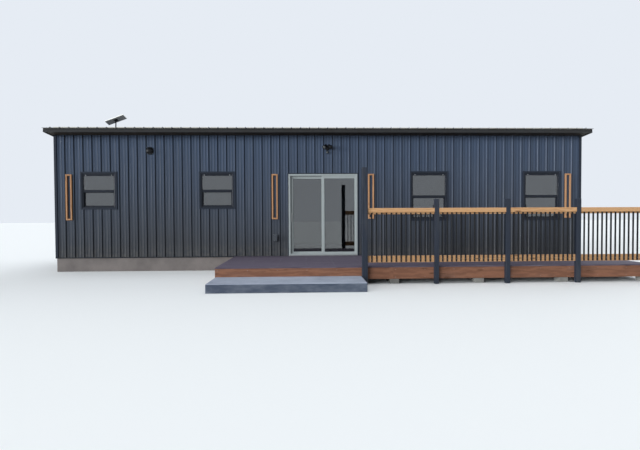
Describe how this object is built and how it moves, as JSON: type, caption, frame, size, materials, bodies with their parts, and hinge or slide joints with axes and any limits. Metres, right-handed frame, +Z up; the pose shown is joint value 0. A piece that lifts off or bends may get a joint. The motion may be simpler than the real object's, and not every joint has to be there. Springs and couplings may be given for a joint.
{
  "type": "tiny house",
  "caption": "Long single-storey tiny house with ribbed metal siding, low single-slope roof, sliding patio door, windows, porch deck, concrete step and railing.",
  "frame": {"origin": "centre of the framed shell's footprint at ground level", "axes": "+X along the house to the right of someone facing its front, +Y towards the back, +Z up"},
  "size_m": [13.886, 8.6493, 3.9968],
  "materials": {
    "concrete": "broom-finished concrete",
    "wall_lining": "painted plasterboard",
    "siding": "charcoal blue coated steel, satin",
    "trim_metal": "charcoal coated steel, satin",
    "flashing": "dark coated steel",
    "roof_metal": "charcoal coated steel with a pale back",
    "roof_core": "sheathing and rafters",
    "fascia": "dark grey coated board",
    "soffit": "dark brown boards",
    "window_frame": "black vinyl",
    "glass": "clear insulated glass",
    "door_vinyl": "off-white vinyl",
    "handle_metal": "satin",
    "deck_timber": "treated framing timber",
    "deck_board": "purple-grey stained boards",
    "deck_fascia": "orange-brown stained cedar",
    "post": "dark grey painted timber",
    "cedar": "oiled cedar, with black square metal balusters",
    "frame_cedar": "oiled cedar",
    "black_metal": "black coated, satin",
    "outlet_plastic": "grey plastic",
    "solar_frame": "satin frame with a pale back sheet"
  },
  "bodies": {
    "house": {"foundation_slab": "concrete", "front_wall_left": "wall_lining", "front_wall_right": "wall_lining", "front_wall_header": "wall_lining", "back_wall": "wall_lining", "left_wall": "wall_lining", "right_wall": "wall_lining", "front_siding": "siding", "back_siding": "siding", "left_siding": "siding", "right_siding": "siding", "corner_trims": "trim_metal", "opening_trims": "trim_metal", "base_flashing": "flashing", "roof_deck": "roof_core", "roof_sheet": "roof_metal", "fascia_boards": "fascia", "rake_boards": "fascia", "soffits": "soffit", "window_frames": "window_frame", "window_sashes": "window_frame", "window_glass": "glass", "patio_door_frame": "door_vinyl", "patio_door_fixed_panel": "door_vinyl", "patio_door_fixed_glass": "glass", "deck_piers": "concrete", "deck_frame": "deck_timber", "deck_boards": "deck_board", "deck_fascia": "deck_fascia", "step_slab": "concrete", "tall_post": "post", "railing_posts": "post", "railing_panel_1": "cedar", "railing_panel_2": "cedar", "railing_panel_3": "cedar", "railing_panel_4": "cedar", "cedar_wall_frames": "frame_cedar", "vent_hood": "black_metal", "floodlight": "black_metal", "outlet_box": "outlet_plastic", "solar_bracket": "black_metal", "solar_panel": "solar_frame"},
    "door_panel": {"patio_door_sliding_panel": "door_vinyl", "patio_door_sliding_glass": "glass", "patio_door_handles": "handle_metal"}
  },
  "joints": [
    {"name": "patio_door_slide", "type": "slide", "parent": "house", "child": "door_panel", "axis": [1, 0, 0], "range_m": [0, 0.76]}
  ]
}
